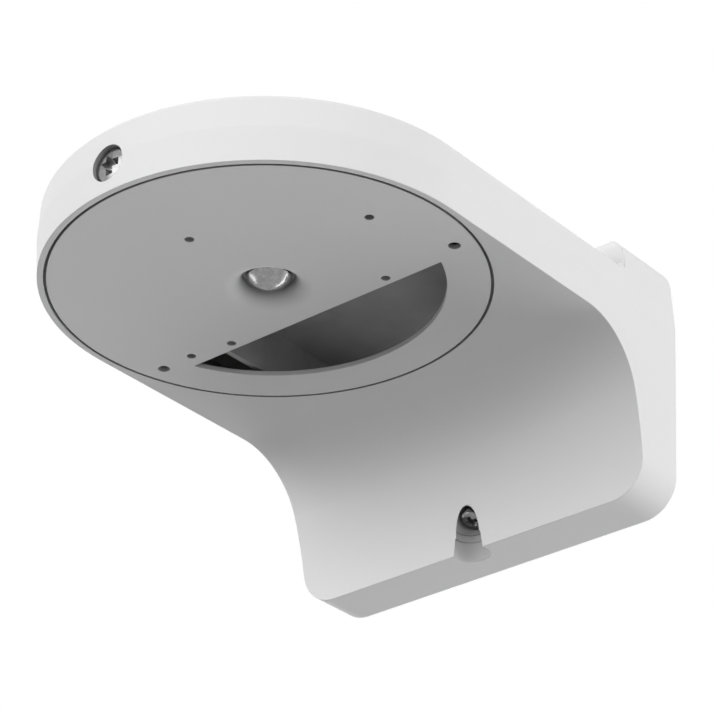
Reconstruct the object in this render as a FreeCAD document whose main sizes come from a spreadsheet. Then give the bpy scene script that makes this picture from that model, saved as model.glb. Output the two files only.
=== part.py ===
import FreeCAD, Part
import math
import os

import Sketcher

# Camera wall bracket: a cast housing with a round head, a level arm and a wall flange, a round camera plate
# let into the head's underside, a steel wall plate that the flange hooks over, and the screws between them.
#
# Frame: the origin is the middle of the wall face, with +Z up and +Y into the wall, so the head points
# along -Y. The camera plate's underside and the head's rim lie at plate_level.
# All sizes are in millimetres and degrees.

SIZES = {
    # Outer form of the housing
    "reach": 100.0,
    "head_radius": 61.2,
    "head_height": 19.7,
    "draft": 3.2,
    "lip_height": 12.0,
    "flange_drop": 44.9,
    "flange_foot": 15.5,
    "bend_start": 41.0,
    "bend_radius": 22.5,
    "lip_front": 22.5,
    "lip_round": 4.5,
    "lip_foot": 3.0,
    "lip_foot_turn": 70.0,
    "head_round": 1.6,
    "foot_corner": 10.7,
    "top_corner": 9.2,
    # Walls of the casting
    "side_wall": 3.6,
    "top_wall": 2.6,
    "skin": 2.4,
    "foot_wall": 3.0,
    # Ribs, posts and catches inside the casting
    "rib_left": 34.0,
    "rib_right": 43.5,
    "rib_thickness": 1.6,
    "rib_front": 30.0,
    "rib_back": 27.0,
    "rib_foot_gap": 0.4,
    "collar_width": 3.2,
    "collar_height": 4.4,
    "post_radius": 6.5,
    "rim_boss_radius": 7.6,
    "rim_boss_depth": 9.2,
    "catch_spacing": 60.0,
    "catch_width": 14.0,
    "catch_thickness": 2.5,
    "catch_drop": 9.5,
    "catch_gap": 3.0,
    # Camera plate and its seat
    "rim_width": 2.15,
    "ledge_width": 2.05,
    "plate_play": 0.8,
    "plate_thickness": 1.4,
    "dish_depth": 4.5,
    "dish_radius": 8.3,
    "dish_floor_radius": 6.9,
    "dish_edge_round": 5.0,
    "opening_chord": 18.3,
    "opening_margin": 11.5,
    "base_hole_radius": 1.25,
    "base_circle_radius": 31.0,
    "base_first_angle": 30.0,
    "pair_hole_radius": 1.25,
    "pair_right_x": 42.2,
    "pair_right_y": -10.1,
    "pair_left_x": -39.9,
    "pair_left_y": 13.8,
    "wide_hole_radius": 1.65,
    "wide_hole_margin": 7.75,
    "wide_hole_y": 14.2,
    "ear_width": 14.0,
    "ear_thickness": 3.0,
    "ear_play": 0.2,
    # Centre screw, rim screw and lock screw
    "centre_thread_radius": 3.0,
    "centre_thread_reach": 8.0,
    "centre_head_radius": 6.0,
    "centre_head_height": 4.1,
    "centre_head_rim": 1.5,
    "rim_screw_height": 8.4,
    "rim_screw_offset": 0.8,
    "rim_bore_radius": 5.1,
    "rim_head_recess": 0.8,
    "rim_thread_radius": 2.5,
    "rim_head_radius": 4.8,
    "rim_head_height": 3.4,
    "rim_head_chamfer": 0.4,
    "lock_tilt": 22.0,
    "lock_seat_depth": 12.15,
    "lock_seat_height": 13.6,
    "lock_bore_radius": 3.95,
    "lock_roof": 3.0,
    "lock_thread_radius": 2.0,
    "lock_head_radius": 3.15,
    "lock_head_height": 4.0,
    "lock_head_chamfer": 0.7,
    "screw_play": 0.25,
    "recess_width": 1.1,
    "recess_depth": 1.5,
    # Driver groove under the lock screw
    "groove_axis_depth": 14.3,
    "groove_radius": 4.15,
    "groove_height": 7.3,
    "groove_mouth_depth": 14.4,
    "groove_mouth_radius": 4.45,
    "groove_mouth_height": 5.2,
    "groove_foot_depth": 13.9,
    "groove_foot_radius": 5.2,
    "groove_wall": 2.6,
    # Wall plate
    "wall_sheet": 2.5,
    "wall_play": 1.0,
    "wall_corner": 8.0,
    "cable_hole_radius": 16.0,
    "wall_screw_radius": 2.75,
    "wall_screw_spacing_x": 80.0,
    "wall_screw_spacing_z": 42.0,
    "hook_width": 10.0,
    "hook_rise": 3.0,
    "hook_play": 0.3,
    "tab_width": 15.0,
    "tab_margin": 3.4,
}

BEYOND = 12.0

document = FreeCAD.newDocument("camera_wall_bracket")
sheet = document.addObject("Spreadsheet::Sheet", "Sizes")
for row, (alias, value) in enumerate(SIZES.items(), start=1):
    sheet.set("A%d" % row, alias)
    sheet.set("B%d" % row, str(value))
    sheet.setAlias("B%d" % row, alias)
document.recompute()


class Size:
    """A length or angle together with the sheet expression that it comes from."""

    def __init__(self, value, text):
        self.value = value
        self.text = text

    @staticmethod
    def of(other):
        return other if isinstance(other, Size) else Size(float(other), repr(float(other)))

    def joined(self, other, sign, value):
        return Size(value, "(%s %s %s)" % (self.text, sign, Size.of(other).text))

    def __add__(self, other):
        return self.joined(other, "+", self.value + Size.of(other).value)

    def __sub__(self, other):
        return self.joined(other, "-", self.value - Size.of(other).value)

    def __mul__(self, other):
        return self.joined(other, "*", self.value * Size.of(other).value)

    def __truediv__(self, other):
        return self.joined(other, "/", self.value / Size.of(other).value)

    def __neg__(self):
        return Size(-self.value, "(-%s)" % self.text)

    def __radd__(self, other):
        return Size.of(other) + self

    def __rsub__(self, other):
        return Size.of(other) - self

    def __rmul__(self, other):
        return Size.of(other) * self


class Sheet:
    """Gives each alias of the sheet as a Size, such as s.reach."""

    def __getattr__(self, alias):
        return Size(float(sheet.get(alias)), "Sizes." + alias)


def sine(angle):
    return Size(math.sin(math.radians(angle.value)), "sin(%s)" % angle.text)


def cosine(angle):
    return Size(math.cos(math.radians(angle.value)), "cos(%s)" % angle.text)


def tangent(angle):
    return Size(math.tan(math.radians(angle.value)), "tan(%s)" % angle.text)


def root(number):
    return Size(math.sqrt(number.value), "sqrt(%s)" % number.text)


s = Sheet()
NOUGHT = Size.of(0)

# Heights, radii and places that several pieces share
flange_top = (s.flange_drop + s.head_height + s.lip_height) / 2
flange_bottom = -flange_top
plate_level = flange_bottom + s.flange_drop
head_top = plate_level + s.head_height
seat_radius = s.head_radius - s.rim_width
throat_radius = seat_radius - s.ledge_width
plate_radius = seat_radius - s.plate_play
opening_radius = plate_radius - s.opening_margin
parting_level = plate_level + s.head_height / 2
ceiling = head_top - s.top_wall
lip_ceiling = flange_top - s.top_wall
dish_floor = plate_level + s.dish_depth
dish_top = dish_floor + s.plate_thickness
rim_screw_level = plate_level + s.rim_screw_height
rim_screw_x = -s.rim_screw_offset
rim_seat = s.reach + s.head_radius - s.rim_head_recess - s.rim_head_height
rim_boss_end = s.reach + s.head_radius - s.rim_boss_depth
ear_face = rim_boss_end - s.ear_play
lock_seat_y = -s.lock_seat_depth
lock_seat_z = flange_bottom + s.lock_seat_height
catch_foot = lip_ceiling - s.catch_drop

# The underside is level below the arm, bends down about bend_centre and sweeps out to a plumb foot about
# sweep_centre, with no kink between the two arcs
bend_run = s.bend_start - s.flange_foot
bend_drop = plate_level - flange_bottom - s.bend_radius
sweep_radius = (bend_run * bend_run + bend_drop * bend_drop - s.bend_radius * s.bend_radius) / (
    (bend_run - s.bend_radius) * 2
)
bend_centre = (-s.bend_start, plate_level - s.bend_radius)
sweep_centre = (-s.flange_foot - sweep_radius, flange_bottom)


def vector(x, y, z=0.0):
    return FreeCAD.Vector(x, y, z)


def new_body(label):
    body = document.addObject("PartDesign::Body", label)
    body.Label = label
    return body


def new_sketch(body, name, role, offset=None):
    """A sketch on one of the body's own origin planes, or at a distance along that plane's normal."""
    sketch = body.newObject("Sketcher::SketchObject", name)
    plane = next(feature for feature in body.Origin.OriginFeatures if feature.Role == role)
    sketch.AttachmentSupport = [(plane, "")]
    sketch.MapMode = "FlatFace"
    if offset is not None:
        sketch.setExpression("AttachmentOffset.Base.z", offset.text)
    return sketch


def pin(sketch, kind, geometry, point, size):
    """Holds one coordinate of a point at a size from the sketch's origin."""
    index = sketch.addConstraint(Sketcher.Constraint(kind, -1, 1, geometry, point, size.value))
    sketch.setExpression("Constraints[%d]" % index, size.text)


def circle(sketch, x, y, radius):
    x, y = Size.of(x), Size.of(y)
    flat = Part.Circle(vector(x.value, y.value), vector(0, 0, 1), radius.value)
    index = sketch.addGeometry(flat)
    pin(sketch, "DistanceX", index, 3, x)
    pin(sketch, "DistanceY", index, 3, y)
    limit = sketch.addConstraint(Sketcher.Constraint("Radius", index, radius.value))
    sketch.setExpression("Constraints[%d]" % limit, radius.text)


def arc_between(start, end, centre, turns_left):
    """An arc of a circle about centre. Sketch arcs run anticlockwise, so a right turn is drawn backwards."""
    first, last = (start, end) if turns_left else (end, start)
    radius = math.hypot(first[0] - centre[0], first[1] - centre[1])
    angles = [math.atan2(point[1] - centre[1], point[0] - centre[0]) for point in (first, last)]
    ring = Part.Circle(vector(*centre), vector(0, 0, 1), radius)
    return Part.ArcOfCircle(ring, angles[0], angles[1])


def outline(sketch, *steps):
    """A closed outline. Each step is (x, y), a straight run to that point, or (x, y, cx, cy, turns_left),
    an arc to that point about that centre. The outline starts where the last step ends."""
    steps = [tuple(value if isinstance(value, bool) else Size.of(value) for value in step) for step in steps]
    ends = []
    for index, step in enumerate(steps):
        before = steps[index - 1]
        start = (before[0].value, before[1].value)
        end = (step[0].value, step[1].value)
        if len(step) == 2:
            edge = sketch.addGeometry(Part.LineSegment(vector(*start), vector(*end)))
            ends.append((edge, 1, 2))
        else:
            centre = (step[2].value, step[3].value)
            edge = sketch.addGeometry(arc_between(start, end, centre, step[4]))
            ends.append((edge, 1, 2) if step[4] else (edge, 2, 1))
    for index, (edge, head, tail) in enumerate(ends):
        previous = ends[index - 1]
        sketch.addConstraint(Sketcher.Constraint("Coincident", previous[0], previous[2], edge, head))
    for step, (edge, head, tail) in zip(steps, ends):
        pin(sketch, "DistanceX", edge, tail, step[0])
        pin(sketch, "DistanceY", edge, tail, step[1])
    for index, (step, (edge, head, tail)) in enumerate(zip(steps, ends)):
        if len(step) == 5:
            before = steps[index - 1]
            across = abs(step[0].value - before[0].value)
            upward = abs(step[1].value - before[1].value)
            if across > upward:
                pin(sketch, "DistanceY", edge, 3, step[3])
            else:
                pin(sketch, "DistanceX", edge, 3, step[2])


def rectangle(sketch, left, bottom, right, top):
    outline(sketch, (right, bottom), (right, top), (left, top), (left, bottom))


def rounded_box(sketch, half_width, bottom, top, corner):
    """A rectangle about the upright axis with four rounded corners."""
    side = half_width - corner
    outline(
        sketch,
        (side, bottom),
        (half_width, bottom + corner, side, bottom + corner, True),
        (half_width, top - corner),
        (side, top, side, top - corner, True),
        (-side, top),
        (-half_width, top - corner, -side, top - corner, True),
        (-half_width, bottom + corner),
        (-side, bottom, -side, bottom + corner, True),
    )


def extrude(body, kind, name, sketch, length, backwards=False, centred=False):
    """A Pad or Pocket of a fixed length."""
    feature = body.newObject("PartDesign::" + kind, name)
    feature.Profile = sketch
    feature.SideType = "Symmetric" if centred else "One side"
    feature.Reversed = backwards
    feature.setExpression("Length", Size.of(length).text)
    return feature


def pad(body, name, sketch, length, backwards=False, centred=False):
    return extrude(body, "Pad", name, sketch, length, backwards, centred)


def pocket(body, name, sketch, length, backwards=False, centred=False):
    return extrude(body, "Pocket", name, sketch, length, backwards, centred)


def axis_in(sketch, start, end):
    """A construction line in a sketch, to turn about."""
    line = Part.LineSegment(vector(start[0].value, start[1].value), vector(end[0].value, end[1].value))
    edge = sketch.addGeometry(line, True)
    for point, place in ((1, start), (2, end)):
        pin(sketch, "DistanceX", edge, point, place[0])
        pin(sketch, "DistanceY", edge, point, place[1])
    return "Axis0"


def turn(body, kind, name, sketch, axis="V_Axis", angle=360):
    """A Revolution or Groove about an axis of the sketch."""
    feature = body.newObject("PartDesign::" + kind, name)
    feature.Profile = sketch
    feature.ReferenceAxis = (sketch, [axis])
    feature.Angle = angle
    return feature


def fillet(body, name, radius, wanted):
    """A fillet on the edges of the body so far that the test wanted picks."""
    document.recompute()
    base = body.Tip
    picked = ["Edge%d" % (index + 1) for index, edge in enumerate(base.Shape.Edges) if wanted(edge)]
    feature = body.newObject("PartDesign::Fillet", name)
    feature.Base = (base, picked)
    feature.setExpression("Radius", radius.text)


def points_of(edge):
    low, high = edge.ParameterRange
    return [edge.valueAt(low), edge.valueAt((low + high) / 2), edge.valueAt(high)]


def near(value, size):
    return abs(value - Size.of(size).value) < 0.01


def mirror(body, name, features, role="YZ_Plane"):
    plane = next(feature for feature in body.Origin.OriginFeatures if feature.Role == role)
    copy = body.newObject("PartDesign::Mirrored", name)
    copy.Originals = features
    copy.MirrorPlane = (plane, [""])
    body.Tip = copy
    return copy


def half_width(radius, level):
    """Half the casting's width at a level: widest at the parting level and drafted away from it."""
    away = level - parting_level if level.value > parting_level.value else parting_level - level
    return radius - tangent(s.draft) * away


def corner(radius, level, size, turn):
    """The rounded corner between a drafted side and a level end: its centre and its foot on the side, with
    turn 1 for a corner above the parting level and -1 for one below."""
    centre_z = level - size * turn
    centre_x = half_width(radius, centre_z) - size / cosine(s.draft)
    return (centre_x, centre_z), (centre_x + size * cosine(s.draft), centre_z + size * turn * sine(s.draft))


def cast_block(body, prefix, radius, ends, corners, head_ends, past_wall):
    """The block that the side view is cut from: the flange's front view carried out to the head's axis, and
    half a turn of the head's section in front of it."""
    bottom, top = ends
    (top_x, top_z), top_foot = corner(radius, top, corners[1], 1)
    (low_x, low_z), low_foot = corner(radius, bottom, corners[0], -1)
    front_view = new_sketch(body, prefix + "_front_view", "XZ_Plane", -past_wall)
    outline(
        front_view,
        (low_x, bottom),
        (low_foot[0], low_foot[1], low_x, low_z, True),
        (radius, parting_level),
        top_foot,
        (top_x, top, top_x, top_z, True),
        (-top_x, top),
        (-top_foot[0], top_foot[1], -top_x, top_z, True),
        (-radius, parting_level),
        (-low_foot[0], low_foot[1]),
        (-low_x, bottom, -low_x, low_z, True),
    )
    pad(body, prefix + "_block", front_view, s.reach + past_wall)

    low, high = head_ends
    section = new_sketch(body, prefix + "_head_section", "XZ_Plane", s.reach)
    outline(
        section,
        (0, low),
        (half_width(radius, low), low),
        (radius, parting_level),
        (half_width(radius, high), high),
        (0, high),
    )
    head = turn(body, "Revolution", prefix + "_head", section, angle=180)
    head.Reversed = True


def underside(offset, foot):
    """The steps of an outline along the underside, moved into the casting by offset, down to foot."""
    share = (s.bend_radius + offset) / (sweep_radius - s.bend_radius)
    joint = [close + (close - far) * share for close, far in zip(bend_centre, sweep_centre)]
    return [
        (-s.bend_start, plate_level + offset),
        (joint[0], joint[1], bend_centre[0], bend_centre[1], False),
        (offset - s.flange_foot, flange_bottom, sweep_centre[0], sweep_centre[1], False),
        (offset - s.flange_foot, foot),
    ]


def cut_side_view(body, prefix, offset, arm_top, top, lip_face, lip_round, lip_foot):
    """Cuts away what lies under the arm and in front of the lip, right across the block."""
    front = -(s.reach + s.head_radius + BEYOND)
    below = flange_bottom - BEYOND
    above = top + BEYOND
    sketch = new_sketch(body, prefix + "_side_view", "YZ_Plane")
    outline(sketch, *underside(offset, below), (front, below), (front, plate_level + offset))
    foot_run = lip_foot * sine(s.lip_foot_turn)
    foot_end = arm_top + lip_foot * (1 - cosine(s.lip_foot_turn))
    outline(
        sketch,
        (-lip_face - foot_run, arm_top),
        (-lip_face, foot_end, -lip_face - foot_run, arm_top + lip_foot, True),
        (-lip_face, top - lip_round),
        (lip_round - lip_face, top, lip_round - lip_face, top - lip_round, False),
        (lip_round - lip_face, above),
        (front, above),
        (front, arm_top),
    )
    pocket(body, prefix + "_side_cut", sketch, (s.head_radius + BEYOND) * 2, centred=True)


def make_core():
    """The hollow of the casting: the same form as the outside, moved in by the wall thicknesses."""
    core = new_body("core")
    cast_block(
        core,
        "core",
        s.head_radius - s.side_wall,
        (flange_bottom + s.foot_wall, lip_ceiling),
        (s.foot_corner - s.foot_wall, s.top_corner - s.top_wall),
        (plate_level + s.skin, ceiling),
        Size.of(1),
    )
    inner_face = s.lip_front - s.top_wall
    inner_round = s.lip_round - s.top_wall
    cut_side_view(
        core, "core", s.skin, ceiling, lip_ceiling, inner_face, inner_round, s.lip_foot + s.top_wall
    )
    return core


def make_housing():
    """The casting: outer form less its core, then ribs, bosses and catches, then what is machined."""
    body = new_body("housing")
    cast_block(
        body,
        "outer",
        s.head_radius,
        (flange_bottom, flange_top),
        (s.foot_corner, s.top_corner),
        (plate_level, head_top),
        NOUGHT,
    )
    cut_side_view(body, "outer", NOUGHT, head_top, flange_top, s.lip_front, s.lip_round, s.lip_foot)

    def head_top_edge(edge):
        """The head's and the arm's top edge, with the short stretch that climbs the foot of the lip."""
        places = points_of(edge)
        low_enough = all(place.z < head_top.value + s.lip_foot.value for place in places)
        on_top = any(near(place.z, head_top) for place in places)
        across = all(near(place.x, -places[0].x) or near(place.y, places[0].y) for place in places)
        return on_top and low_enough and not across

    fillet(body, "head_top_round", s.head_round, head_top_edge)

    hollow = body.newObject("PartDesign::Boolean", "hollow")
    hollow.Type = "Cut"
    hollow.setObjects([make_core()])

    add_collar(body)
    add_ribs(body)
    add_centre_post(body)
    add_rim_boss(body)
    add_lock_boss(body)
    add_catches(body)
    cut_plate_seat(body)
    cut_screw_holes(body)
    cut_driver_groove(body)
    return body


def add_collar(body):
    """The collar that stiffens the skin round the seat of the camera plate."""
    sketch = new_sketch(body, "collar_plan", "XY_Plane", plate_level)
    circle(sketch, 0, -s.reach, throat_radius)
    circle(sketch, 0, -s.reach, throat_radius + s.collar_width)
    pad(body, "collar", sketch, s.collar_height)


def add_ribs(body):
    """Two ribs under the ceiling that keep the cable between them, from the head back into the arm."""
    foot = plate_level + s.skin + s.rib_foot_gap
    for name, x in (("left_rib", -s.rib_left), ("right_rib", s.rib_right)):
        sketch = new_sketch(body, name + "_view", "YZ_Plane", x)
        rectangle(sketch, -(s.reach + s.rib_front), foot, -s.rib_back, ceiling + s.top_wall / 2)
        pad(body, name, sketch, s.rib_thickness, centred=True)


def add_centre_post(body):
    """The post above the plate's dish that takes the centre screw."""
    sketch = new_sketch(body, "post_plan", "XY_Plane", dish_top)
    circle(sketch, 0, -s.reach, s.post_radius)
    pad(body, "centre_post", sketch, ceiling - dish_top + s.top_wall / 2)


def add_rim_boss(body):
    """The boss behind the rim that the rim screw is sunk into."""
    sketch = new_sketch(body, "rim_boss_view", "XZ_Plane", rim_boss_end)
    circle(sketch, rim_screw_x, rim_screw_level, s.rim_boss_radius)
    pad(body, "rim_boss", sketch, s.rim_boss_depth - s.side_wall / 2)


def lock_point(along, across):
    """A point in the side view by its distance up the lock screw's axis from the seat of its head, and
    its distance square to the axis, towards the wall."""
    y = lock_seat_y + sine(s.lock_tilt) * along + cosine(s.lock_tilt) * across
    z = lock_seat_z + cosine(s.lock_tilt) * along - sine(s.lock_tilt) * across
    return y, z


def lay_on_lock_axis(item, placement):
    """Puts a sketch or a body at the seat of the lock screw, with its +Z along the screw's shank."""
    setattr(item, placement, FreeCAD.Placement(vector(0, 0), FreeCAD.Rotation(vector(-1, 0), 1)))
    item.setExpression(placement + ".Base.y", lock_seat_y.text)
    item.setExpression(placement + ".Base.z", lock_seat_z.text)
    item.setExpression(placement + ".Rotation.Angle", s.lock_tilt.text)


def add_lock_boss(body):
    """The boss inside the flange's foot round the lock screw and its driver groove."""
    half_width = s.lock_bore_radius + s.groove_wall
    roof_back = lock_point(s.lock_roof, half_width)
    roof_front = lock_point(s.lock_roof, -s.lock_bore_radius - s.lock_roof / 3)
    floor = flange_bottom + s.foot_wall / 2
    inside_skin = s.skin / 3 - s.flange_foot
    sketch = new_sketch(body, "lock_boss_view", "YZ_Plane")
    outline(sketch, (inside_skin, floor), (roof_back[0], floor), roof_back, roof_front)
    width = (s.groove_foot_radius + s.groove_wall) * 2
    pad(body, "lock_boss", sketch, width, centred=True)


def add_catches(body):
    """Two catches under the lip's ceiling that drop behind the hooks of the wall plate."""
    behind = s.wall_sheet + s.catch_gap
    sketch = new_sketch(body, "catch_view", "YZ_Plane", s.catch_spacing / 2)
    rectangle(sketch, -(behind + s.catch_thickness), catch_foot, -behind, lip_ceiling + s.top_wall / 2)
    catch = pad(body, "catch", sketch, s.catch_width, centred=True)
    mirror(body, "catch_pair", [catch])


def cut_plate_seat(body):
    """The round recess that the camera plate lies in, flush with the rim, and the throat above it."""
    sketch = new_sketch(body, "seat_plan", "XY_Plane", plate_level)
    circle(sketch, 0, -s.reach, seat_radius)
    pocket(body, "plate_seat", sketch, s.plate_thickness, backwards=True)
    throat = new_sketch(body, "throat_plan", "XY_Plane", plate_level)
    circle(throat, 0, -s.reach, throat_radius)
    pocket(body, "throat", throat, s.skin + s.rib_foot_gap, backwards=True)


def cut_screw_holes(body):
    """The thread in the centre post, the rim screw's counterbore and the lock screw's tilted bore."""
    post = new_sketch(body, "post_thread_plan", "XY_Plane", dish_top)
    circle(post, 0, -s.reach, s.centre_thread_radius)
    pocket(body, "post_thread", post, s.centre_thread_reach + 1, backwards=True)

    bore = new_sketch(body, "rim_bore_view", "XZ_Plane", s.reach + s.head_radius + BEYOND)
    circle(bore, rim_screw_x, rim_screw_level, s.rim_bore_radius)
    pocket(body, "rim_bore", bore, s.head_radius + BEYOND + s.reach - rim_seat)
    shank = new_sketch(body, "rim_shank_view", "XZ_Plane", rim_seat)
    circle(shank, rim_screw_x, rim_screw_level, s.rim_thread_radius + s.screw_play)
    pocket(body, "rim_shank", shank, rim_seat - rim_boss_end + 1)

    for name, radius, length, inwards in (
        ("lock_bore", s.lock_bore_radius, s.lock_seat_height + BEYOND, False),
        ("lock_shank", s.lock_thread_radius + s.screw_play, s.lock_roof + 1, True),
    ):
        tilted = new_sketch(body, name + "_view", "XY_Plane")
        lay_on_lock_axis(tilted, "AttachmentOffset")
        circle(tilted, 0, 0, radius)
        pocket(body, name, tilted, length, backwards=inwards)


def cut_driver_groove(body):
    """The upright groove that lets a driver in under the lock screw, with a mouth that widens to the foot."""
    plan = new_sketch(body, "groove_plan", "XY_Plane", flange_bottom)
    circle(plan, 0, -s.groove_axis_depth, s.groove_radius)
    pocket(body, "groove", plan, s.groove_height, backwards=True)
    mouth = new_sketch(body, "groove_mouth_plan", "XY_Plane", flange_bottom + s.groove_mouth_height)
    circle(mouth, 0, -s.groove_mouth_depth, s.groove_mouth_radius)
    foot = new_sketch(body, "groove_foot_plan", "XY_Plane", flange_bottom)
    circle(foot, 0, -s.groove_foot_depth, s.groove_foot_radius)
    flare = body.newObject("PartDesign::SubtractiveLoft", "groove_mouth")
    flare.Profile = mouth
    flare.Sections = [foot]


def tapped_places():
    """Centres of the plate's tapped holes about the head's axis, each with its radius: the ring of three
    for a camera base, the uneven pair, and the wide pair beside the cable opening."""
    for index in range(3):
        angle = s.base_first_angle + 120 * index
        x = s.base_circle_radius * cosine(angle)
        y = s.base_circle_radius * sine(angle)
        yield x, y, s.base_hole_radius
    yield s.pair_right_x, s.pair_right_y, s.pair_hole_radius
    yield s.pair_left_x, s.pair_left_y, s.pair_hole_radius
    wide_x = plate_radius - s.wide_hole_margin
    yield wide_x, s.wide_hole_y, s.wide_hole_radius
    yield -wide_x, s.wide_hole_y, s.wide_hole_radius


def turn_about_head(body, kind, name, *steps):
    """A Revolution or Groove about the head's upright axis, from points by radius and height."""
    section = new_sketch(body, name + "_section", "YZ_Plane")
    outline(section, *[(radius - s.reach, height) for radius, height in steps])
    turn(body, kind, name, section, axis_in(section, (-s.reach, NOUGHT), (-s.reach, Size.of(1))))


def make_camera_plate():
    """The round plate: dished at the centre screw, open in a half-moon for the cable, tapped for camera
    bases, with an ear on its upper side that the rim screw is threaded through."""
    body = new_body("camera_plate")
    top = plate_level + s.plate_thickness
    disc = new_sketch(body, "disc_plan", "XY_Plane", plate_level)
    circle(disc, 0, -s.reach, plate_radius)
    pad(body, "disc", disc, s.plate_thickness)

    back = s.plate_thickness * 0.8
    turn_about_head(
        body, "Revolution", "dish_back",
        (0, top - s.plate_thickness / 2),
        (s.dish_radius + back, top - s.plate_thickness / 2),
        (s.dish_floor_radius + back, dish_top),
        (0, dish_top),
    )
    turn_about_head(
        body, "Groove", "dish",
        (0, plate_level - 1),
        (s.dish_radius, plate_level - 1),
        (s.dish_radius, plate_level),
        (s.dish_floor_radius, dish_floor),
        (0, dish_floor),
    )

    def dish_mouth(edge):
        places = points_of(edge)
        inside = all(math.hypot(place.x, place.y + s.reach.value) < s.dish_radius.value + 0.01 for place in places)
        return inside and all(near(place.z, plate_level) for place in places)

    fillet(body, "dish_mouth_round", s.dish_edge_round, dish_mouth)

    centre = new_sketch(body, "centre_hole_plan", "XY_Plane", dish_floor)
    circle(centre, 0, -s.reach, s.centre_thread_radius + s.screw_play)
    pocket(body, "centre_hole", centre, s.plate_thickness + 1, backwards=True)

    moon = new_sketch(body, "opening_plan", "XY_Plane", plate_level)
    half_chord = root(opening_radius * opening_radius - s.opening_chord * s.opening_chord)
    chord_y = s.opening_chord - s.reach
    outline(moon, (half_chord, chord_y), (-half_chord, chord_y, 0, -s.reach, True))
    pocket(body, "cable_opening", moon, s.plate_thickness, backwards=True)

    holes = new_sketch(body, "tapped_hole_plan", "XY_Plane", plate_level)
    for x, y, radius in tapped_places():
        circle(holes, x, y - s.reach, radius)
    pocket(body, "tapped_holes", holes, s.plate_thickness, backwards=True)

    ear = new_sketch(body, "ear_view", "XZ_Plane", ear_face)
    ear_left, ear_right = rim_screw_x - s.ear_width / 2, rim_screw_x + s.ear_width / 2
    outline(
        ear,
        (ear_right, top - s.plate_thickness / 2),
        (ear_right, rim_screw_level),
        (ear_left, rim_screw_level, rim_screw_x, rim_screw_level, True),
        (ear_left, top - s.plate_thickness / 2),
    )
    pad(body, "ear", ear, s.ear_thickness, backwards=True)
    thread = new_sketch(body, "ear_thread_view", "XZ_Plane", ear_face)
    circle(thread, rim_screw_x, rim_screw_level, s.rim_thread_radius)
    pocket(body, "ear_thread", thread, s.ear_thickness + 1)
    return body


def make_screw(label, thread_radius, length, head_radius, head_height, head_chamfer):
    """A screw on its own +Z axis, with the seat of its head at its origin, and a cross recess."""
    body = new_body(label)
    section = new_sketch(body, label + "_section", "XZ_Plane")
    outline(
        section,
        (0, -head_height),
        (head_radius - head_chamfer, -head_height),
        (head_radius, head_chamfer - head_height),
        (head_radius, 0),
        (thread_radius, 0),
        (thread_radius, length),
        (0, length),
    )
    turn(body, "Revolution", label + "_turned", section)
    cross = new_sketch(body, label + "_recess_plan", "XY_Plane", -head_height)
    arm = s.recess_width / 2
    end = head_radius - head_chamfer - s.recess_width / 2
    outline(
        cross,
        (arm, -end), (arm, -arm), (end, -arm), (end, arm), (arm, arm), (arm, end),
        (-arm, end), (-arm, arm), (-end, arm), (-end, -arm), (-arm, -arm), (-arm, -end),
    )
    pocket(body, label + "_recess", cross, s.recess_depth, backwards=True)
    return body


def make_centre_screw():
    """The screw with a smooth domed head in the plate's dish."""
    body = new_body("centre_screw")
    head, rim, tall = s.centre_head_radius, s.centre_head_rim, s.centre_head_height
    plan = new_sketch(body, "head_plan", "XY_Plane")
    circle(plan, 0, 0, head)
    pad(body, "head", plan, tall, backwards=True)

    crown = tall - rim
    dome = (head * head + crown * crown) / (crown * 2)
    level = dome - tall
    ball = new_body("dome_ball")
    section = new_sketch(ball, "ball_section", "XZ_Plane")
    outline(section, (dome, level, 0, level, True), (-dome, level))
    turn(ball, "Revolution", "ball", section, axis_in(section, (NOUGHT, level), (Size.of(1), level)))
    rounded = body.newObject("PartDesign::Boolean", "dome")
    rounded.Type = "Common"
    rounded.setObjects([ball])

    shank = new_sketch(body, "shank_plan", "XY_Plane")
    circle(shank, 0, 0, s.centre_thread_radius)
    pad(body, "shank", shank, s.plate_thickness + s.centre_thread_reach)
    body.setExpression("Placement.Base.y", (-s.reach).text)
    body.setExpression("Placement.Base.z", dish_floor.text)
    return body


def make_rim_screw():
    """The screw sunk in the front of the rim, which holds the camera plate by its ear."""
    length = rim_seat - ear_face + s.ear_thickness + 1
    body = make_screw(
        "rim_screw", s.rim_thread_radius, length, s.rim_head_radius, s.rim_head_height, s.rim_head_chamfer
    )
    body.Placement = FreeCAD.Placement(vector(0, 0, 0), FreeCAD.Rotation(vector(1, 0, 0), -90))
    body.setExpression("Placement.Base.x", rim_screw_x.text)
    body.setExpression("Placement.Base.y", (-rim_seat).text)
    body.setExpression("Placement.Base.z", rim_screw_level.text)
    return body


def make_lock_screw():
    """The tilted screw in the flange's foot, which draws the housing down and back on the wall plate."""
    length = s.lock_roof + s.wall_sheet + 1
    body = make_screw(
        "lock_screw", s.lock_thread_radius, length, s.lock_head_radius, s.lock_head_height, s.lock_head_chamfer
    )
    lay_on_lock_axis(body, "Placement")
    return body


def across_to_sheet(along):
    """The distance square to the lock screw's axis from a point on it to the middle of the wall sheet."""
    return (s.lock_seat_depth - s.wall_sheet / 2 - sine(s.lock_tilt) * along) / cosine(s.lock_tilt)


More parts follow.
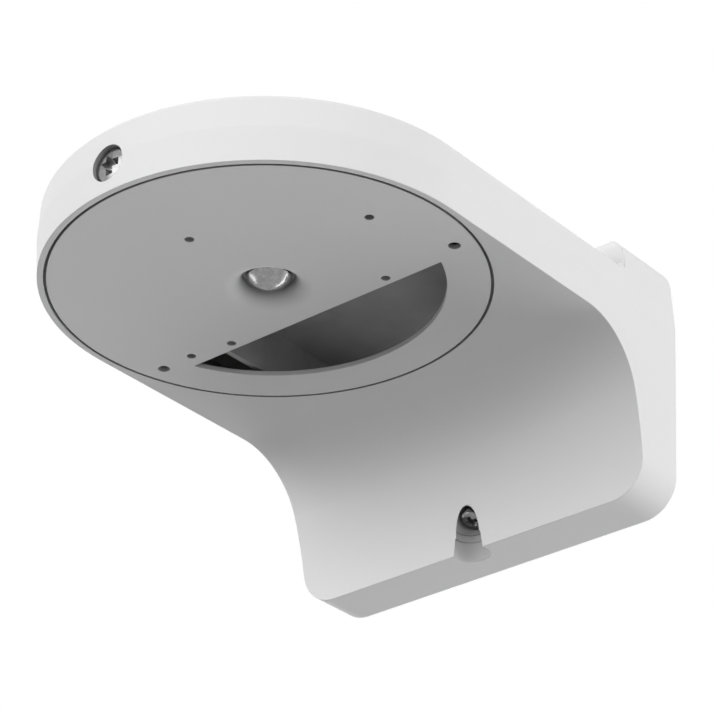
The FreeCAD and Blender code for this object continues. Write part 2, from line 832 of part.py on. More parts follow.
def make_wall_plate():
    """The steel plate that is screwed to the wall inside the flange: two hooks at its top carry the
    housing's catches, and a bent tab at its foot takes the lock screw."""
    body = new_body("wall_plate")
    foot = flange_bottom + s.foot_wall + s.wall_play
    head = lip_ceiling - s.wall_play
    inner_side = s.head_radius - s.side_wall - tangent(s.draft) * (parting_level - foot)
    half_width = inner_side - s.wall_play
    sheet_view = new_sketch(body, "sheet_view", "XZ_Plane")
    rounded_box(sheet_view, half_width, foot, head, s.wall_corner)
    pad(body, "sheet", sheet_view, s.wall_sheet)

    holes = new_sketch(body, "wall_hole_view", "XZ_Plane")
    circle(holes, 0, 0, s.cable_hole_radius)
    for x in (-s.wall_screw_spacing_x / 2, s.wall_screw_spacing_x / 2):
        for z in (-s.wall_screw_spacing_z / 2, s.wall_screw_spacing_z / 2):
            circle(holes, x, z, s.wall_screw_radius)
    pocket(body, "wall_holes", holes, s.wall_sheet + 1, backwards=True)

    catch_front = s.wall_sheet + s.catch_gap + s.catch_thickness
    tip_back = -(catch_front + s.hook_play)
    tip_front = tip_back - s.wall_sheet
    hook_foot = catch_foot - s.wall_sheet
    hook_view = new_sketch(body, "hook_view", "YZ_Plane", s.catch_spacing / 2)
    outline(
        hook_view,
        (-s.wall_sheet / 2, hook_foot),
        (-s.wall_sheet / 2, catch_foot),
        (tip_back, catch_foot),
        (tip_back, catch_foot + s.hook_rise),
        (tip_front, catch_foot + s.hook_rise),
        (tip_front, hook_foot),
    )
    hook = pad(body, "hook", hook_view, s.hook_width, centred=True)
    mirror(body, "hook_pair", [hook])

    tab_view = new_sketch(body, "tab_view", "YZ_Plane")
    tab_top = s.lock_roof + s.wall_sheet
    outline(
        tab_view,
        lock_point(s.lock_roof, -s.tab_margin),
        lock_point(s.lock_roof, across_to_sheet(s.lock_roof)),
        lock_point(tab_top, across_to_sheet(tab_top)),
        lock_point(tab_top, -s.tab_margin),
    )
    pad(body, "tab", tab_view, s.tab_width, centred=True)

    thread = new_sketch(body, "tab_thread_view", "XY_Plane")
    lay_on_lock_axis(thread, "AttachmentOffset")
    circle(thread, 0, 0, s.lock_thread_radius)
    pocket(body, "tab_thread", thread, tab_top + 1, backwards=True)
    return body


def check_document():
    """Stops if any feature failed."""
    for item in document.Objects:
        if "Invalid" in item.State or "Error" in item.State:
            raise RuntimeError("%s: %s" % (item.Name, item.getStatusString()))


def write_pieces(pieces):
    """Writes each piece to parts/NODE.step after checking its shape."""
    os.makedirs("parts", exist_ok=True)
    for piece in pieces:
        shape = piece.Shape
        if shape.isNull() or not shape.isValid() or len(shape.Solids) != 1:
            raise RuntimeError("%s is not one valid solid" % piece.Label)
        shape.exportStep("parts/%s.step" % piece.Label)
        print("%-14s %10.1f mm3 %4d faces" % (piece.Label, shape.Volume, len(shape.Faces)))


pieces = [
    make_housing(),
    make_camera_plate(),
    make_centre_screw(),
    make_rim_screw(),
    make_lock_screw(),
    make_wall_plate(),
]
document.recompute()
check_document()
write_pieces(pieces)
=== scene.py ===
import math

import bmesh
import bpy
from mathutils import Matrix, Vector
from mathutils.bvhtree import BVHTree


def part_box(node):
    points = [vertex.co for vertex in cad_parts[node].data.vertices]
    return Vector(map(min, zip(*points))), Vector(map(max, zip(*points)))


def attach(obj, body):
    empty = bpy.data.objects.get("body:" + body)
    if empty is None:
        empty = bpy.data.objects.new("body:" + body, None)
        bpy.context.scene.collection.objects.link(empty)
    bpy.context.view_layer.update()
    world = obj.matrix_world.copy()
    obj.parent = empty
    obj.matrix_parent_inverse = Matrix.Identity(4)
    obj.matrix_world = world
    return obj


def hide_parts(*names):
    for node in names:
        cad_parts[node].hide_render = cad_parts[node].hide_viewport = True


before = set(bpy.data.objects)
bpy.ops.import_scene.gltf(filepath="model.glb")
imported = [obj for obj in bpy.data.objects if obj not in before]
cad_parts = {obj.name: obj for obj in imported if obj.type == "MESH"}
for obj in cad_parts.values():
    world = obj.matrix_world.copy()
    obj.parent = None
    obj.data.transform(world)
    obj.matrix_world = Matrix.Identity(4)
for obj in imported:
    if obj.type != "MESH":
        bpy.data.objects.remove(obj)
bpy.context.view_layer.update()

# Looks of the camera wall bracket: painted casting and plate, bright screws and a zinc-plated wall plate,
# in plain soft studio light. Metres, in the part's own frame: the wall face is at y = 0, and -Y is the front.

MM = 0.001

# The camera stands low in front, to the right, and looks up at the underside
CAMERA_PLACE = (0.43446, -0.59243, -0.38909)
CAMERA_YAW = 0.6879
CAMERA_PITCH = 0.5192
CAMERA_ROLL = 0.0008
CAMERA_LENS = 147.47
SENSOR_WIDTH = 36.0
NEAREST_SEEN = 0.01
FARTHEST_SEEN = 100.0

# World: its light comes from a band about the horizon. Each stop is a height, as the sine of the angle above
# the horizon, and the share of the level that comes from there.
WORLD_LEVEL = 1.83
WORLD_BANDS = ((-0.25, 0.0), (-0.10, 1.0), (0.25, 1.0), (0.45, 0.21))
WHITE = (1.0, 1.0, 1.0, 1.0)

# Floor: the bounce is the share of its colour that lights the object, and the glow is the share of its plain
# colour that shows where it is seen
FLOOR_LEVEL = -1.0
FLOOR_REACH = 40.0
FLOOR_BOUNCE = 0.40
FLOOR_GLOW = 0.55

# Lamps: oval soft boxes that face the middle of the arm
STUDIO_AIM = (0.0, -0.07, 0.0)
LAMPS = {
    "right_lamp": {"place": (1.6, -0.35, 0.10), "size": (1.1, 1.1), "power": 6.8},
    "front_lamp": {"place": (-0.45, -1.65, 0.55), "size": (1.2, 1.2), "power": 9.8},
    "low_left_lamp": {"place": (-1.38, -0.1, -0.82), "size": (1.0, 0.25), "power": 1.5},
    "low_back_lamp": {"place": (0.1, 1.4, -0.9), "size": (1.8, 1.8), "power": 31.0},
}

# Finishes: colours, and the shares of them that their clouds, smears and spangle run between
CASTING_COLOUR = (0.80, 0.80, 0.80)
PLATE_COLOUR = (0.80, 0.80, 0.80)
PAINT_TONES = (0.985, 1.0)
# The inside's darker grey is painted shade
INSIDE_SHADE_COLOUR = (0.38, 0.38, 0.38)
INSIDE_TONES = (0.85, 1.1)
DOME_COLOUR = (0.31, 0.31, 0.31)
DOME_TONES = (0.80, 1.25)
STEEL_COLOUR = (0.25, 0.25, 0.25)
STEEL_TONES = (0.85, 1.2)
ZINC_COLOUR = (0.33, 0.335, 0.34)
ZINC_TONES = (0.94, 1.04)
FLOOR_COLOUR = (0.85, 0.85, 0.85)
FLOOR_TONES = (0.99, 1.0)

# Roughness, and how strongly coats mirror
PAINT_ROUGHNESS = (0.50, 0.60)
INSIDE_ROUGHNESS = (0.60, 0.75)
DOME_ROUGHNESS = (0.10, 0.32)
STEEL_ROUGHNESS = (0.14, 0.28)
ZINC_ROUGHNESS = (0.52, 0.60)
FLOOR_ROUGHNESS = 0.9
PAINT_GLOSS = 0.28
INSIDE_GLOSS = 0.3
FLOOR_GLOSS = 0.1

# Patterns: scale in one metre, detail and roughness of a noise, and the span that most of its values lie in
PAINT_CLOUDS = (28.0, 4.0, 0.5)
PAINT_GRAIN = (1500.0, 2.0, 0.5)
PAINT_PEEL = (520.0, 3.0, 0.6)
INSIDE_CLOUDS = (60.0, 5.0, 0.6)
INSIDE_GRAIN = (800.0, 3.0, 0.5)
DOME_WAVES = (330.0, 2.0, 0.5)
DOME_SMEARS = (700.0, 5.0, 0.65)
STEEL_RINGS = (9000.0, 1.0, 0.5)
STEEL_SMEARS = (500.0, 4.0, 0.6)
ZINC_GRAIN = (900.0, 3.0, 0.5)
ZINC_SPANGLE_SCALE = 330.0
FLOOR_CLOUDS = (3.0, 3.0, 0.5)
NOISE_SPAN = (0.3, 0.7)

# Where a Mix node keeps its two colours and the colour that it makes
MIX_FIRST = 6
MIX_SECOND = 7
MIX_RESULT = 2

# Reliefs
EDGE_SOFTNESS = 0.35 * MM
EDGE_SAMPLES = 6
GRAIN_DEPTH = 0.01 * MM
PEEL_DEPTH = 0.006 * MM
WAVE_DEPTH = 0.18 * MM

# Painted shade: paint is a little darker close to other surfaces, in gaps, seats and recesses. As the open
# share of its surroundings runs through the shares, its tone runs through the tones.
PAINTED_SHADE_REACH = 12.0 * MM
PAINTED_SHADE_SHARES = (0.30, 0.95)
PAINTED_SHADE_TONES = (0.36, 1.0)
PAINTED_SHADE_SAMPLES = 8

# The inside of the casting, darkened as painted shade: those of its surfaces from which less than the share
# of all rays goes clear of the part. An edge that turns more than SURFACE_TURN parts two surfaces.
INSIDE_OPEN_SHARE = 0.33
INSIDE_RAYS = 40
RAY_START = 0.05 * MM
SURFACE_TURN = math.radians(25.0)
WELD_REACH = 0.001 * MM

# Screws, in millimetres: thread and head sizes, and the places that the CAD boxes don't give
RIM_SCREW = {
    "thread": 2.5, "pitch": 0.8, "head": 4.8, "tall": 3.4, "chamfer": 0.4, "crown": 0.5, "slot": 2.2,
}
LOCK_SCREW = {
    "thread": 2.0, "pitch": 0.7, "head": 3.15, "tall": 4.0, "chamfer": 0.7, "crown": 0.15, "slot": 1.2,
}
CENTRE_SCREW = {"thread": 3.0, "pitch": 1.0, "head": 6.0, "tall": 4.1, "rim": 1.5}
LOCK_TILT = math.radians(22.0)
LOCK_SEAT = Vector((0.0, -12.15, -24.7)) * MM
LOCK_LENGTH = 6.5
HEAD_FOOT_TALL = 0.25
HEAD_FOOT_INSET = 0.2
DOME_FOOT_INSET = 0.15
NECK_FILLET = 0.3
CROWN_SHARES = (0.1, 0.3, 0.5, 0.7, 0.85, 1.0)
CHAMFER_STEPS = 6
DOME_STEPS = 18
TURN_SIDES = 64
CREASE_TURN = math.radians(32.0)

# Cross recess: its depth, its reach as a share of the head's flat, and the stages of its taper. Each stage is
# a share of the depth, of the reach and of the slot's half width.
RECESS_DEPTH = 2.0
RECESS_REACH = 0.74
RECESS_OVERCUT = 1.0
RECESS_STAGES = ((0.0, 1.0, 1.0), (0.75, 0.55, 0.76), (1.0, 0.30, 0.44))

# Thread: its depth and run-out in pitches, how flat its crests are, the share of the radius that its tip is
# drawn in, and the rows of vertices in one turn
THREAD_DEPTH = 0.54
THREAD_RUNOUT = 1.2
THREAD_CREST = 1.3
THREAD_TIP_INSET = 0.5
THREAD_ROWS = 8


def new_material(name):
    """A node material, its node tree and its shader, which has nothing linked to it yet."""
    material = bpy.data.materials.new(name)
    material.use_nodes = True
    tree = material.node_tree
    tree.nodes.clear()
    shader = tree.nodes.new("ShaderNodeBsdfPrincipled")
    output = tree.nodes.new("ShaderNodeOutputMaterial")
    tree.links.new(shader.outputs["BSDF"], output.inputs["Surface"])
    return material, tree, shader


def place_in(tree):
    return tree.nodes.new("ShaderNodeTexCoord").outputs["Object"]


def noise(tree, place, pattern):
    node = tree.nodes.new("ShaderNodeTexNoise")
    for name, value in zip(("Scale", "Detail", "Roughness"), pattern):
        node.inputs[name].default_value = value
    tree.links.new(place, node.inputs["Vector"])
    return node.outputs["Fac"]


def blend(tree, factor, colour, shares, span=NOISE_SPAN):
    """The colour, from its first share to its second as factor runs through the span."""
    ramp = tree.nodes.new("ShaderNodeValToRGB")
    for element, position, share in zip(ramp.color_ramp.elements, span, shares):
        element.position = position
        element.color = (*(channel * share for channel in colour), 1.0)
    tree.links.new(factor, ramp.inputs["Fac"])
    return ramp.outputs["Color"]


def spread(tree, factor, low, high, start=0.0, stop=1.0):
    """A value that runs from low to high as factor runs from start to stop."""
    node = tree.nodes.new("ShaderNodeMapRange")
    for name, value in (("From Min", start), ("From Max", stop), ("To Min", low), ("To Max", high)):
        node.inputs[name].default_value = value
    tree.links.new(factor, node.inputs["Value"])
    return node.outputs["Result"]


def bump(tree, height, depth, normal=None):
    """The normal of a fine relief, on top of another normal where one is given."""
    node = tree.nodes.new("ShaderNodeBump")
    node.inputs["Distance"].default_value = depth
    node.inputs["Strength"].default_value = 1.0
    tree.links.new(height, node.inputs["Height"])
    if normal is not None:
        tree.links.new(normal, node.inputs["Normal"])
    return node.outputs["Normal"]


def soft_edges(tree):
    """The normal of edges that catch the light, as coated and pressed edges do."""
    node = tree.nodes.new("ShaderNodeBevel")
    node.samples = EDGE_SAMPLES
    node.inputs["Radius"].default_value = EDGE_SOFTNESS
    return node.outputs["Normal"]


def product(tree, first, second):
    """Two colours multiplied."""
    node = tree.nodes.new("ShaderNodeMix")
    node.data_type = "RGBA"
    node.blend_type = "MULTIPLY"
    node.inputs["Factor"].default_value = 1.0
    tree.links.new(first, node.inputs[MIX_FIRST])
    tree.links.new(second, node.inputs[MIX_SECOND])
    return node.outputs[MIX_RESULT]


def mixed_shader(tree, share, first, second):
    """The first shader, and the share that the second takes over from it."""
    node = tree.nodes.new("ShaderNodeMixShader")
    for index, source in enumerate((share, first, second)):
        tree.links.new(source, node.inputs[index])
    return node.outputs["Shader"]


def painted_shade(tree):
    """A tone that turns darker in gaps, seats and recesses, for the soft shade that lies there."""
    node = tree.nodes.new("ShaderNodeAmbientOcclusion")
    node.samples = PAINTED_SHADE_SAMPLES
    node.inputs["Distance"].default_value = PAINTED_SHADE_REACH
    return spread(tree, node.outputs["AO"], *PAINTED_SHADE_TONES, *PAINTED_SHADE_SHARES)


def finish(tree, shader, colour, roughness, normal):
    for name, source in (("Base Color", colour), ("Roughness", roughness), ("Normal", normal)):
        tree.links.new(source, shader.inputs[name])


def paint(name, colour):
    """Powder coat: a fine even orange peel, with faint clouds in its colour and gloss, and painted shade that
    darkens it close to other surfaces.
    """
    material, tree, shader = new_material(name)
    place = place_in(tree)
    tone = blend(tree, noise(tree, place, PAINT_CLOUDS), colour, PAINT_TONES)
    roughness = spread(tree, noise(tree, place, PAINT_GRAIN), *PAINT_ROUGHNESS)
    normal = bump(tree, noise(tree, place, PAINT_PEEL), PEEL_DEPTH, soft_edges(tree))
    finish(tree, shader, product(tree, tone, painted_shade(tree)), roughness, normal)
    shader.inputs["Specular IOR Level"].default_value = PAINT_GLOSS
    return material


def polished_steel(name):
    """Polished screw head with the shallow waves and small dents of a struck dome."""
    material, tree, shader = new_material(name)
    place = place_in(tree)
    smears = noise(tree, place, DOME_SMEARS)
    colour = blend(tree, smears, DOME_COLOUR, DOME_TONES)
    normal = bump(tree, noise(tree, place, DOME_WAVES), WAVE_DEPTH)
    finish(tree, shader, colour, spread(tree, smears, *DOME_ROUGHNESS), normal)
    shader.inputs["Metallic"].default_value = 1.0
    return material


def turned_steel(name):
    """Bright machined steel with fine turning marks round the screw's axis, its local Z."""
    material, tree, shader = new_material(name)
    place = place_in(tree)
    parts = tree.nodes.new("ShaderNodeSeparateXYZ")
    tree.links.new(place, parts.inputs["Vector"])
    across = tree.nodes.new("ShaderNodeCombineXYZ")
    for axis in "XY":
        tree.links.new(parts.outputs[axis], across.inputs[axis])
    radius = tree.nodes.new("ShaderNodeVectorMath")
    radius.operation = "LENGTH"
    tree.links.new(across.outputs["Vector"], radius.inputs[0])
    outward = tree.nodes.new("ShaderNodeCombineXYZ")
    tree.links.new(radius.outputs["Value"], outward.inputs["X"])
    smears = noise(tree, place, STEEL_SMEARS)
    colour = blend(tree, smears, STEEL_COLOUR, STEEL_TONES)
    normal = bump(tree, noise(tree, outward.outputs["Vector"], STEEL_RINGS), GRAIN_DEPTH)
    finish(tree, shader, colour, spread(tree, smears, *STEEL_ROUGHNESS), normal)
    shader.inputs["Metallic"].default_value = 1.0
    return material


def zinc_plate(name):
    """Galvanised sheet: patches of spangle that differ a little in tone and gloss."""
    material, tree, shader = new_material(name)
    place = place_in(tree)
    spangle = tree.nodes.new("ShaderNodeTexVoronoi")
    spangle.inputs["Scale"].default_value = ZINC_SPANGLE_SCALE
    tree.links.new(place, spangle.inputs["Vector"])
    tone = tree.nodes.new("ShaderNodeSeparateColor")
    tree.links.new(spangle.outputs["Color"], tone.inputs["Color"])
    colour = blend(tree, tone.outputs["Red"], ZINC_COLOUR, ZINC_TONES, span=(0.0, 1.0))
    roughness = spread(tree, tone.outputs["Green"], *ZINC_ROUGHNESS)
    normal = bump(tree, noise(tree, place, ZINC_GRAIN), GRAIN_DEPTH, soft_edges(tree))
    finish(tree, shader, colour, roughness, normal)
    shader.inputs["Metallic"].default_value = 1.0
    return material


def inside_shade_material(name):
    """The inside of the casting: a dull darker grey that is painted shade, with faint cloudy tone and fine
    grain.
    """
    material, tree, shader = new_material(name)
    place = place_in(tree)
    grain = noise(tree, place, INSIDE_GRAIN)
    colour = blend(tree, noise(tree, place, INSIDE_CLOUDS), INSIDE_SHADE_COLOUR, INSIDE_TONES)
    roughness = spread(tree, grain, *INSIDE_ROUGHNESS)
    finish(tree, shader, colour, roughness, bump(tree, grain, GRAIN_DEPTH))
    shader.inputs["Specular IOR Level"].default_value = INSIDE_GLOSS
    return material


def dress(node, material):
    """Gives a CAD node its finish."""
    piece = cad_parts[node]
    piece.data.materials.clear()
    piece.data.materials.append(material)


def dome_of_rays(count):
    """Directions spread evenly over the half of all directions above Z."""
    golden_angle = math.pi * (3.0 - math.sqrt(5.0))
    rays = []
    for index in range(count):
        height = (index + 0.5) / count
        angle = index * golden_angle
        across = math.sqrt(1.0 - height * height)
        rays.append(Vector((across * math.cos(angle), across * math.sin(angle), height)))
    return rays


def surfaces(piece):
    """The faces of each smooth surface of a piece, as lists of face numbers."""
    mesh = bmesh.new()
    mesh.from_mesh(piece.data)
    bmesh.ops.remove_doubles(mesh, verts=mesh.verts, dist=WELD_REACH)
    left = set(mesh.faces)
    found = []
    while left:
        group = [left.pop()]
        for face in group:
            for edge in face.edges:
                if len(edge.link_faces) != 2 or edge.calc_face_angle() > SURFACE_TURN:
                    continue
                for beside in edge.link_faces:
                    if beside in left:
                        left.remove(beside)
                        group.append(beside)
        found.append([face.index for face in group])
    mesh.free()
    return found


def paint_inside_shade(node, material):
    """Gives the surfaces that look out on little but the part itself another material than the outside, a
    darker grey of painted shade.
    """
    verts, faces = [], []
    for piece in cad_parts.values():
        first = len(verts)
        verts += [piece.matrix_world @ vertex.co for vertex in piece.data.vertices]
        faces += [[first + index for index in face.vertices] for face in piece.data.polygons]
    solid = BVHTree.FromPolygons(verts, faces)
    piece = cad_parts[node]
    inside = len(piece.data.materials)
    piece.data.materials.append(material)
    turn = piece.matrix_world.to_3x3()
    rays = dome_of_rays(INSIDE_RAYS)
    for surface in surfaces(piece):
        clear, area = 0.0, 0.0
        for face in (piece.data.polygons[number] for number in surface):
            normal = (turn @ face.normal).normalized()
            start = piece.matrix_world @ face.center + normal * RAY_START
            upright = Vector((0.0, 0.0, 1.0)).rotation_difference(normal)
            clear += face.area * sum(solid.ray_cast(start, upright @ ray)[0] is None for ray in rays)
            area += face.area
        if clear < INSIDE_OPEN_SHARE * area * len(rays):
            for number in surface:
                piece.data.polygons[number].material_index = inside


def mesh_object(name, mesh):
    """An object of a finished mesh, not yet in the scene."""
    data = bpy.data.meshes.new(name)
    mesh.to_mesh(data)
    mesh.free()
    return bpy.data.objects.new(name, data)


def ring(mesh, level, radii):
    """One ring of vertices about Z, with a radius for each of them."""
    verts = []
    for step, radius in enumerate(radii):
        angle = 2 * math.pi * step / TURN_SIDES
        verts.append(mesh.verts.new((radius * math.cos(angle), radius * math.sin(angle), level)))
    return verts


def join_rings(mesh, rings):
    """Quads between each ring and the next, and a fan to close both ends."""
    for low, high in zip(rings, rings[1:]):
        for step in range(TURN_SIDES):
            after = (step + 1) % TURN_SIDES
            mesh.faces.new((low[step], low[after], high[after], high[step]))
    mesh.faces.new(list(reversed(rings[0])))
    mesh.faces.new(rings[-1])


def thread_rings(mesh, radius, pitch, length):
    """Rings of a plain right-handed thread from just under the head to a chamfered tip."""
    count = int(length / pitch * THREAD_ROWS)
    rings = []
    for row in range(1, count + 1):
        level = length * row / count
        fade = min(1.0, (length - level) / (THREAD_RUNOUT * pitch), level / pitch)
        point = 1.0 - max(0.0, 1.0 - (length - level) / pitch) * THREAD_TIP_INSET
        radii = []
        for step in range(TURN_SIDES):
            phase = (level / pitch - step / TURN_SIDES) % 1.0
            ridge = 1.0 - abs(2.0 * phase - 1.0)
            groove = THREAD_DEPTH * pitch * fade * (1.0 - min(1.0, ridge * THREAD_CREST))
            radii.append(radius * point - groove)
        rings.append(ring(mesh, level, radii))
    return rings


def screw_object(name, head_profile, thread, pitch, length):
    """A screw about its own Z, head below zero and thread above, from rings in millimetres."""
    mesh = bmesh.new()
    rings = [ring(mesh, level, [radius] * TURN_SIDES) for radius, level in (*head_profile, (thread, 0.0))]
    rings += thread_rings(mesh, thread, pitch, length)
    join_rings(mesh, rings)
    bmesh.ops.recalc_face_normals(mesh, faces=mesh.faces)
    bmesh.ops.scale(mesh, vec=(MM, MM, MM), verts=mesh.verts)
    piece = mesh_object(name, mesh)
    bpy.context.scene.collection.objects.link(piece)
    return piece


def cross_cutter(name, reach, slot, level):
    """The tapered cross that a driver's recess is cut with, from above the head down into it."""
    mesh = bmesh.new()
    stages = [(level - RECESS_OVERCUT, reach, slot / 2)]
    for down, along, wide in RECESS_STAGES:
        stages.append((level + RECESS_DEPTH * down, reach * along, slot / 2 * wide))
    loops = []
    for height, arm, half in stages:
        corners = []
        for quarter in range(4):
            turn = Matrix.Rotation(quarter * math.pi / 2, 3, "Z")
            for x, y in ((arm, -half), (arm, half), (half, half)):
                corners.append(mesh.verts.new(turn @ Vector((x, y, height))))
        loops.append(corners)
    for low, high in zip(loops, loops[1:]):
        for step in range(len(low)):
            after = (step + 1) % len(low)
            mesh.faces.new((low[step], low[after], high[after], high[step]))
    mesh.faces.new(loops[0])
    mesh.faces.new(loops[-1])
    bmesh.ops.recalc_face_normals(mesh, faces=mesh.faces)
    bmesh.ops.scale(mesh, vec=(MM, MM, MM), verts=mesh.verts)
    return mesh_object(name, mesh)


def apply_modifiers(piece):
    graph = bpy.context.evaluated_depsgraph_get()
    data = bpy.data.meshes.new_from_object(piece.evaluated_get(graph))
    piece.modifiers.clear()
    piece.data = data


def cut(piece, cutter):
    bpy.context.scene.collection.objects.link(cutter)
    modifier = piece.modifiers.new("recess", "BOOLEAN")
    modifier.operation = "DIFFERENCE"
    modifier.solver = "EXACT"
    modifier.object = cutter
    apply_modifiers(piece)
    bpy.data.objects.remove(cutter)


def shade(piece):
    """Smooth shading with crisp edges where faces meet at more than the crease."""
    piece.data.polygons.foreach_set("use_smooth", [True] * len(piece.data.polygons))
    piece.data.set_sharp_from_angle(angle=CREASE_TURN)


def recessed_screw(name, node, sizes, length, place):
    """A cross-recessed screw that stands for a CAD screw, with place as its seat and axis."""
    head, tall, chamfer, crown = sizes["head"], sizes["tall"], sizes["chamfer"], sizes["crown"]
    flat = head - chamfer
    profile = [(flat * share, crown * share * share - tall) for share in CROWN_SHARES]
    for step in range(1, CHAMFER_STEPS + 1):
        angle = math.radians(90.0 * step / CHAMFER_STEPS)
        radius = flat + chamfer * math.sin(angle)
        profile.append((radius, crown + chamfer - tall - chamfer * math.cos(angle)))
    profile += [(head, -HEAD_FOOT_TALL), (head - HEAD_FOOT_INSET, 0.0)]
    profile.append((sizes["thread"] + NECK_FILLET, 0.0))
    piece = screw_object(name, profile, sizes["thread"], sizes["pitch"], length)
    cut(piece, cross_cutter(name + "_cutter", flat * RECESS_REACH, sizes["slot"], -tall))
    shade(piece)
    piece.matrix_world = place
    finish_screw(piece, node, turned_steel(name + "_steel"))


def finish_screw(piece, node, material):
    piece.data.materials.append(material)
    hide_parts(node)
    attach(piece, "root")


def make_rim_screw():
    low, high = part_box("rim_screw")
    middle = (low + high) / 2
    seat = Vector((middle.x, low.y + RIM_SCREW["tall"] * MM, middle.z))
    length = (high.y - seat.y) / MM
    place = Matrix.Translation(seat) @ Matrix.Rotation(math.radians(-90.0), 4, "X")
    recessed_screw("rim_screw_turned", "rim_screw", RIM_SCREW, length, place)


def make_lock_screw():
    place = Matrix.Translation(LOCK_SEAT) @ Matrix.Rotation(-LOCK_TILT, 4, "X")
    recessed_screw("lock_screw_turned", "lock_screw", LOCK_SCREW, LOCK_LENGTH, place)


def make_centre_screw():
    low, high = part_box("centre_screw")
    head, tall, rim = CENTRE_SCREW["head"], CENTRE_SCREW["tall"], CENTRE_SCREW["rim"]
    middle = (low + high) / 2
    seat = Vector((middle.x, middle.y, low.z + tall * MM))
    crown = tall - rim
    ball = (head * head + crown * crown) / (2 * crown)
    widest = math.asin(head / ball)
    profile = []
    for step in range(1, DOME_STEPS + 1):
        angle = widest * step / DOME_STEPS
        profile.append((ball * math.sin(angle), ball - tall - ball * math.cos(angle)))
    profile += [(head, -rim / 2), (head - DOME_FOOT_INSET, 0.0)]
    length = (high.z - seat.z) / MM
    piece = screw_object("centre_screw_domed", profile, CENTRE_SCREW["thread"], CENTRE_SCREW["pitch"], length)
    shade(piece)
    piece.matrix_world = Matrix.Translation(seat)
    finish_screw(piece, "centre_screw", polished_steel("domed_screw_steel"))


def seen_directly(tree):
    """1 for rays from the camera and for mirrored and transmitted ones, and else 0."""
    rays = tree.nodes.new("ShaderNodeLightPath")
    seen = rays.outputs["Is Camera Ray"]
    for kind in ("Is Glossy Ray", "Is Transmission Ray"):
        either = tree.nodes.new("ShaderNodeMath")
        either.operation = "MAXIMUM"
        tree.links.new(seen, either.inputs[0])
        tree.links.new(rays.outputs[kind], either.inputs[1])
        seen = either.outputs["Value"]
    return seen


def make_floor():
    """A wide pale floor that keeps the object's shadow and throws little light up at it."""
    mesh = bmesh.new()
    bmesh.ops.create_grid(mesh, x_segments=1, y_segments=1, size=FLOOR_REACH)
    floor = mesh_object("floor", mesh)
    floor.location.z = FLOOR_LEVEL
    bpy.context.scene.collection.objects.link(floor)
    material, tree, shader = new_material("floor_paper")
    tone = blend(tree, noise(tree, place_in(tree), FLOOR_CLOUDS), FLOOR_COLOUR, FLOOR_TONES)
    seen = seen_directly(tree)
    tree.links.new(product(tree, tone, spread(tree, seen, FLOOR_BOUNCE, 1.0)), shader.inputs["Base Color"])
    shader.inputs["Roughness"].default_value = FLOOR_ROUGHNESS
    shader.inputs["Specular IOR Level"].default_value = FLOOR_GLOSS
    pale = tree.nodes.new("ShaderNodeEmission")
    tree.links.new(tone, pale.inputs["Color"])
    glow = spread(tree, seen, 0.0, FLOOR_GLOW)
    look = mixed_shader(tree, glow, shader.outputs["BSDF"], pale.outputs["Emission"])
    tree.links.new(look, tree.nodes["Material Output"].inputs["Surface"])
    floor.data.materials.append(material)


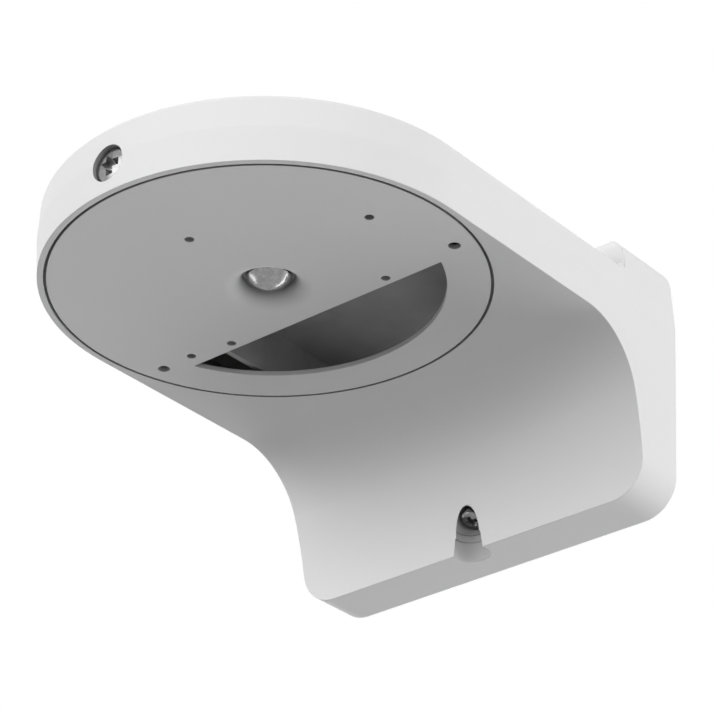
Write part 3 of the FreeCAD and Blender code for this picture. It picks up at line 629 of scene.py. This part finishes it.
def make_world():
    """Light from a band about the horizon, with a white view of it for the camera and for reflections."""
    world = bpy.data.worlds.new("studio")
    bpy.context.scene.world = world
    world.use_nodes = True
    tree = world.node_tree
    tree.nodes.clear()
    parts = tree.nodes.new("ShaderNodeSeparateXYZ")
    tree.links.new(tree.nodes.new("ShaderNodeTexCoord").outputs["Generated"], parts.inputs["Vector"])
    bands = tree.nodes.new("ShaderNodeValToRGB")
    stops = bands.color_ramp.elements
    while len(stops) < len(WORLD_BANDS):
        stops.new(0.5)
    for stop, (height, share) in zip(stops, WORLD_BANDS):
        stop.position = (height + 1.0) / 2
        stop.color = (share, share, share, 1.0)
    tree.links.new(spread(tree, parts.outputs["Z"], 0.0, 1.0, start=-1.0), bands.inputs["Fac"])
    light = tree.nodes.new("ShaderNodeBackground")
    light.inputs["Strength"].default_value = WORLD_LEVEL
    tree.links.new(bands.outputs["Color"], light.inputs["Color"])
    white = tree.nodes.new("ShaderNodeBackground")
    white.inputs["Color"].default_value = WHITE
    seen = seen_directly(tree)
    look = mixed_shader(tree, seen, light.outputs["Background"], white.outputs["Background"])
    output = tree.nodes.new("ShaderNodeOutputWorld")
    tree.links.new(look, output.inputs["Surface"])


def make_lamp(name, place, size, power):
    lamp = bpy.data.lights.new(name, "AREA")
    lamp.shape = "ELLIPSE"
    lamp.size, lamp.size_y = size
    lamp.energy = power
    holder = bpy.data.objects.new(name, lamp)
    holder.location = place
    aim = Vector(STUDIO_AIM) - Vector(place)
    holder.rotation_euler = aim.to_track_quat("-Z", "Y").to_euler()
    bpy.context.scene.collection.objects.link(holder)


def make_camera():
    """The photograph's view, from yaw, pitch and roll."""
    yaw, pitch, roll = CAMERA_YAW, CAMERA_PITCH, CAMERA_ROLL
    ahead = Vector((-math.sin(yaw) * math.cos(pitch), math.cos(yaw) * math.cos(pitch), math.sin(pitch)))
    level = Vector((math.cos(yaw), math.sin(yaw), 0.0))
    upward = level.cross(ahead)
    right = level * math.cos(roll) + upward * math.sin(roll)
    above = upward * math.cos(roll) - level * math.sin(roll)
    turn = Matrix((right, above, -ahead)).transposed()
    data = bpy.data.cameras.new("photo_camera")
    data.sensor_fit = "HORIZONTAL"
    data.sensor_width = SENSOR_WIDTH
    data.lens = CAMERA_LENS
    data.clip_start = NEAREST_SEEN
    data.clip_end = FARTHEST_SEEN
    camera = bpy.data.objects.new("photo_camera", data)
    camera.matrix_world = Matrix.Translation(CAMERA_PLACE) @ turn.to_4x4()
    bpy.context.scene.collection.objects.link(camera)
    bpy.context.scene.camera = camera


make_camera()
make_world()
for lamp_name, lamp_sizes in LAMPS.items():
    make_lamp(lamp_name, **lamp_sizes)
make_floor()

dress("housing", paint("casting_paint", CASTING_COLOUR))
# The housing's enclosed inside is darkened with painted shade
paint_inside_shade("housing", inside_shade_material("inside_painted_shade"))
dress("camera_plate", paint("plate_paint", PLATE_COLOUR))
dress("wall_plate", zinc_plate("zinc_sheet"))
make_centre_screw()
make_rim_screw()
make_lock_screw()

bpy.context.scene.view_settings.view_transform = "Standard"
